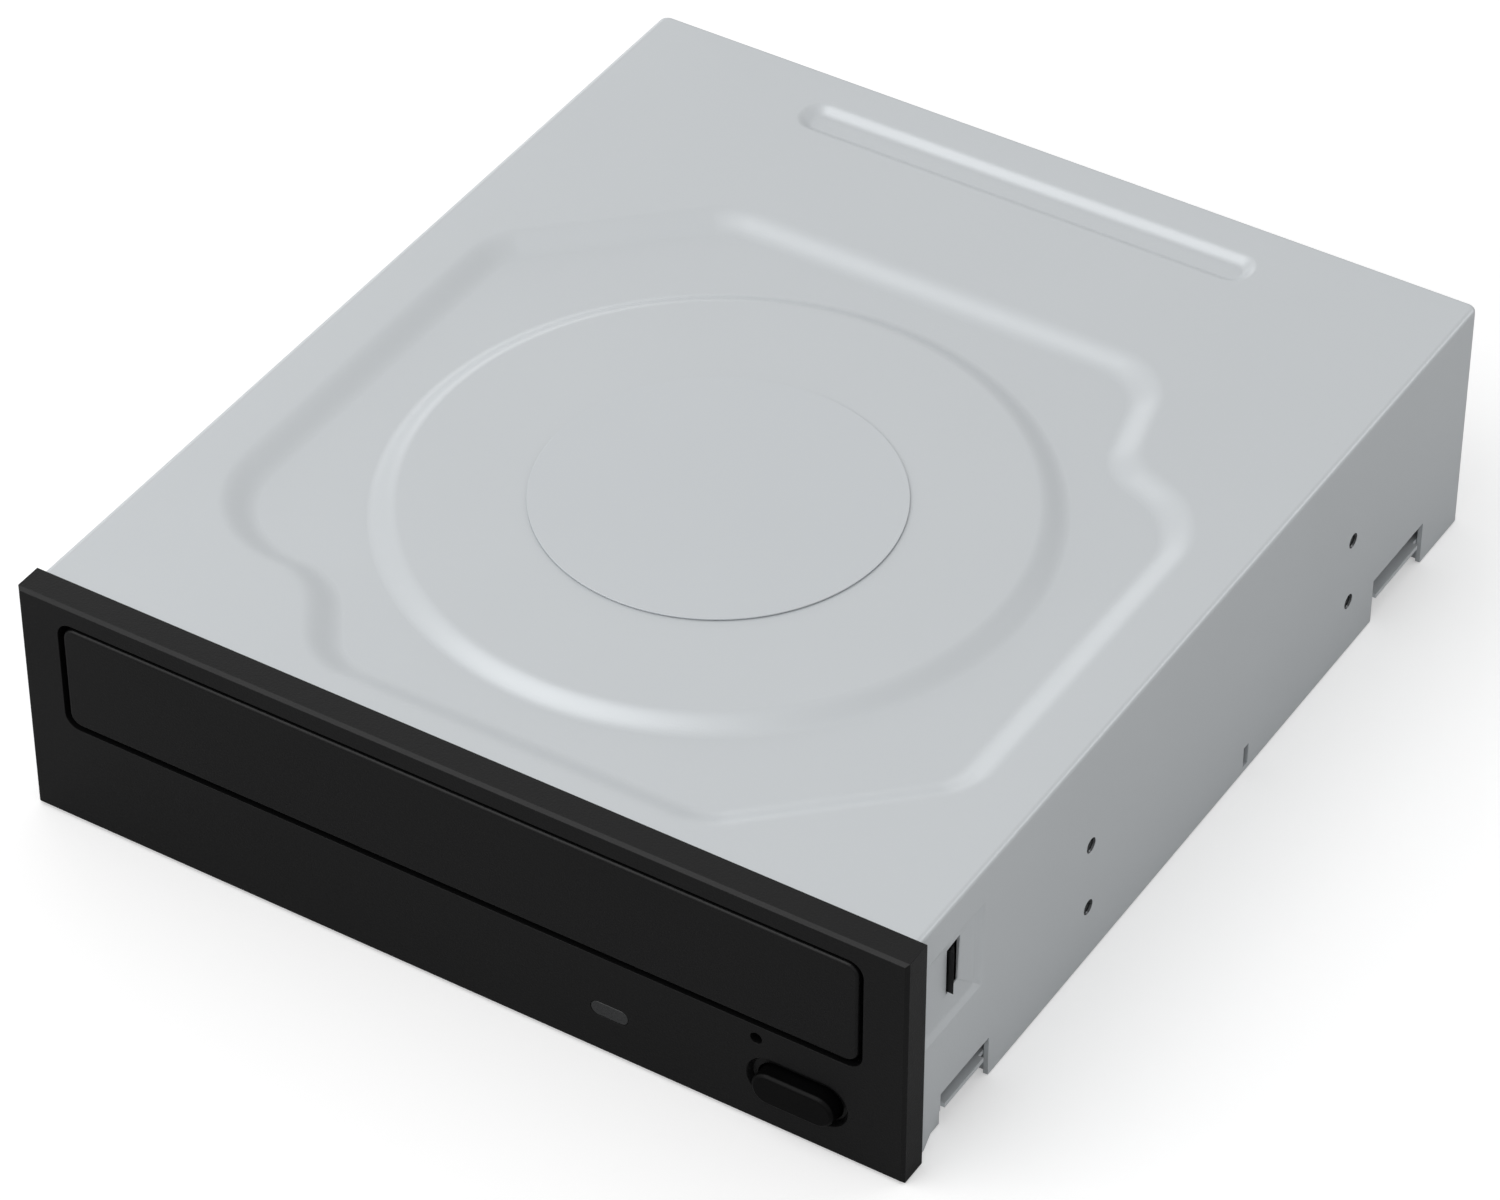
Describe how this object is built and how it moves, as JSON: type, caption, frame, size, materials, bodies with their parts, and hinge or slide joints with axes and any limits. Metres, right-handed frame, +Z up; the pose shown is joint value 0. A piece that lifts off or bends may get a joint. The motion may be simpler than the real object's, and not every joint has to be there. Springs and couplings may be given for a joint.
{
  "type": "disc drive",
  "caption": "Half-height disc drive for a 5.25-inch bay, with a steel case, a plastic bezel, an eject button and a sliding disc tray driven by gears and a belt.",
  "frame": {"origin": "middle of the four bottom screw holes, on the underside", "axes": "+Z up through the cover, the bezel and its tray door face -Y, +X to the right seen from the front"},
  "size_m": [0.1482, 0.1716, 0.0417],
  "materials": {
    "case_steel": "satin grey coated steel",
    "foil": "satin foil",
    "black_plastic": "satin black moulded plastic",
    "dark_plastic": "plain black moulded plastic",
    "button_plastic": "satin black moulded plastic",
    "lamp_lens": "translucent grey plastic",
    "white_plastic": "natural acetal",
    "steel": "zinc-plated steel",
    "rubber": "matt black rubber",
    "board": "green lacquered circuit board",
    "chip": "matt black",
    "connector": "black plastic",
    "copper": "lacquered copper windings",
    "alloy": "cast alloy",
    "capacitor": "aluminium can",
    "magnet": "dark ferrite",
    "felt": "felt",
    "lens": "coated lens",
    "cable": "white flat cable",
    "lamp": "clear lamp body"
  },
  "bodies": {
    "root": {"top_cover": "case_steel", "cover_foil": "foil", "bottom_cover": "case_steel", "case_screws": "steel", "front_bezel": "black_plastic", "indicator_lens": "lamp_lens", "eject_switch": "chip", "indicator_lamp": "lamp", "front_board": "board", "front_cable": "cable", "main_frame": "dark_plastic", "loading_motor": "steel", "motor_screws": "steel", "drive_belt": "rubber", "clamp_holder": "steel", "main_board": "board", "board_screws": "steel", "board_chips": "chip", "board_capacitors": "capacitor", "data_connector": "connector", "power_connector": "connector"},
    "tray": {"disc_tray": "dark_plastic", "tray_door": "black_plastic"},
    "button": {"eject_button": "button_plastic", "switch_plunger": "white_plastic"},
    "drive_gear": {"drive_gear": "white_plastic"},
    "idler_gear": {"idler_gear": "white_plastic"},
    "pulley_gear": {"pulley_gear": "white_plastic"},
    "motor_rotor": {"motor_pulley": "white_plastic", "motor_shaft": "steel"},
    "slider": {"cam_slider": "white_plastic"},
    "lift": {"lift_frame": "dark_plastic", "traverse_chassis": "steel", "dampers": "rubber", "damper_screws": "steel", "left_guide_rod": "steel", "right_guide_rod": "steel", "rod_clamps": "steel", "spindle_base": "steel", "spindle_stator": "copper", "feed_motor": "steel"},
    "spindle": {"rotor_can": "steel", "turntable": "dark_plastic", "turntable_pad": "rubber", "centring_cone": "white_plastic"},
    "feed": {"lead_screw": "steel"},
    "sled": {"pickup_sled": "alloy", "feed_nut": "white_plastic", "pickup_cover": "steel"},
    "lens": {"lens_holder": "dark_plastic", "objective_lens": "lens"},
    "puck": {"clamp_puck": "dark_plastic", "clamp_pad": "felt", "clamp_magnet": "magnet", "clamp_yoke": "steel"}
  },
  "joints": [
    {"name": "tray_slide", "type": "slide", "parent": "root", "child": "tray", "axis": [0, -1, 0], "range_m": [0, 0.134]},
    {"name": "eject_press", "type": "slide", "parent": "root", "child": "button", "axis": [0, 1, 0], "range_m": [0, 0.001], "stiffness_N_per_m": 600},
    {"name": "drive_gear_turn", "type": "hinge", "parent": "root", "child": "drive_gear", "pos_m": [-0.05, -0.06722, 0.02], "axis": [0, 0, 1], "range_deg": [0, 960.7]},
    {"name": "idler_gear_turn", "type": "hinge", "parent": "root", "child": "idler_gear", "pos_m": [-0.03109, -0.07055, 0.017], "axis": [0, 0, 1], "range_deg": [-2331.71, 0]},
    {"name": "pulley_gear_turn", "type": "hinge", "parent": "root", "child": "pulley_gear", "pos_m": [-0.01869, -0.06604, 0.02], "axis": [0, 0, 1], "range_deg": [0, 4995.38]},
    {"name": "motor_turn", "type": "hinge", "parent": "root", "child": "motor_rotor", "pos_m": [0.004, -0.06822, 0.02], "axis": [0, 0, 1], "range_deg": [0, 19978.52]},
    {"name": "frame_lift", "type": "hinge", "parent": "root", "child": "lift", "pos_m": [0, 0.06278, 0.016], "axis": [-1, 0, 0], "range_deg": [0, 4.7]},
    {"name": "cam_slide", "type": "slide", "parent": "root", "child": "slider", "axis": [1, 0, 0], "range_m": [0, 0.0201]},
    {"name": "sled_slide", "type": "slide", "parent": "lift", "child": "sled", "axis": [0, 0.9966, 0.0819], "range_m": [0, 0.0345]},
    {"name": "screw_turn", "type": "hinge", "parent": "lift", "child": "feed", "pos_m": [0.0345, 0.01235, 0.01918], "axis": [0, 0.9966, 0.0819], "range_deg": [0, 4141]},
    {"name": "lens_focus", "type": "slide", "parent": "sled", "child": "lens", "axis": [0, -0.0819, 0.9966], "range_m": [-0.0004, 0.0004], "stiffness_N_per_m": 200},
    {"name": "turntable_spin", "type": "hinge", "parent": "lift", "child": "spindle", "pos_m": [0, -0.02237, 0.01803], "axis": [0, -0.0819, 0.9966], "continuous": true},
    {"name": "puck_spin", "type": "hinge", "parent": "root", "child": "puck", "pos_m": [0, -0.02192, 0.036], "axis": [0, 0, 1], "continuous": true}
  ],
  "couplings": [
    {"joint": "drive_gear_turn", "follows": "tray_slide", "rad_per_m": 125},
    {"joint": "idler_gear_turn", "follows": "tray_slide", "rad_per_m": -303.57},
    {"joint": "pulley_gear_turn", "follows": "tray_slide", "rad_per_m": 650.51},
    {"joint": "motor_turn", "follows": "tray_slide", "rad_per_m": 2602},
    {"joint": "cam_slide", "follows": "frame_lift", "m_per_rad": 0.24382},
    {"joint": "screw_turn", "follows": "sled_slide", "rad_per_m": 2094.4}
  ]
}
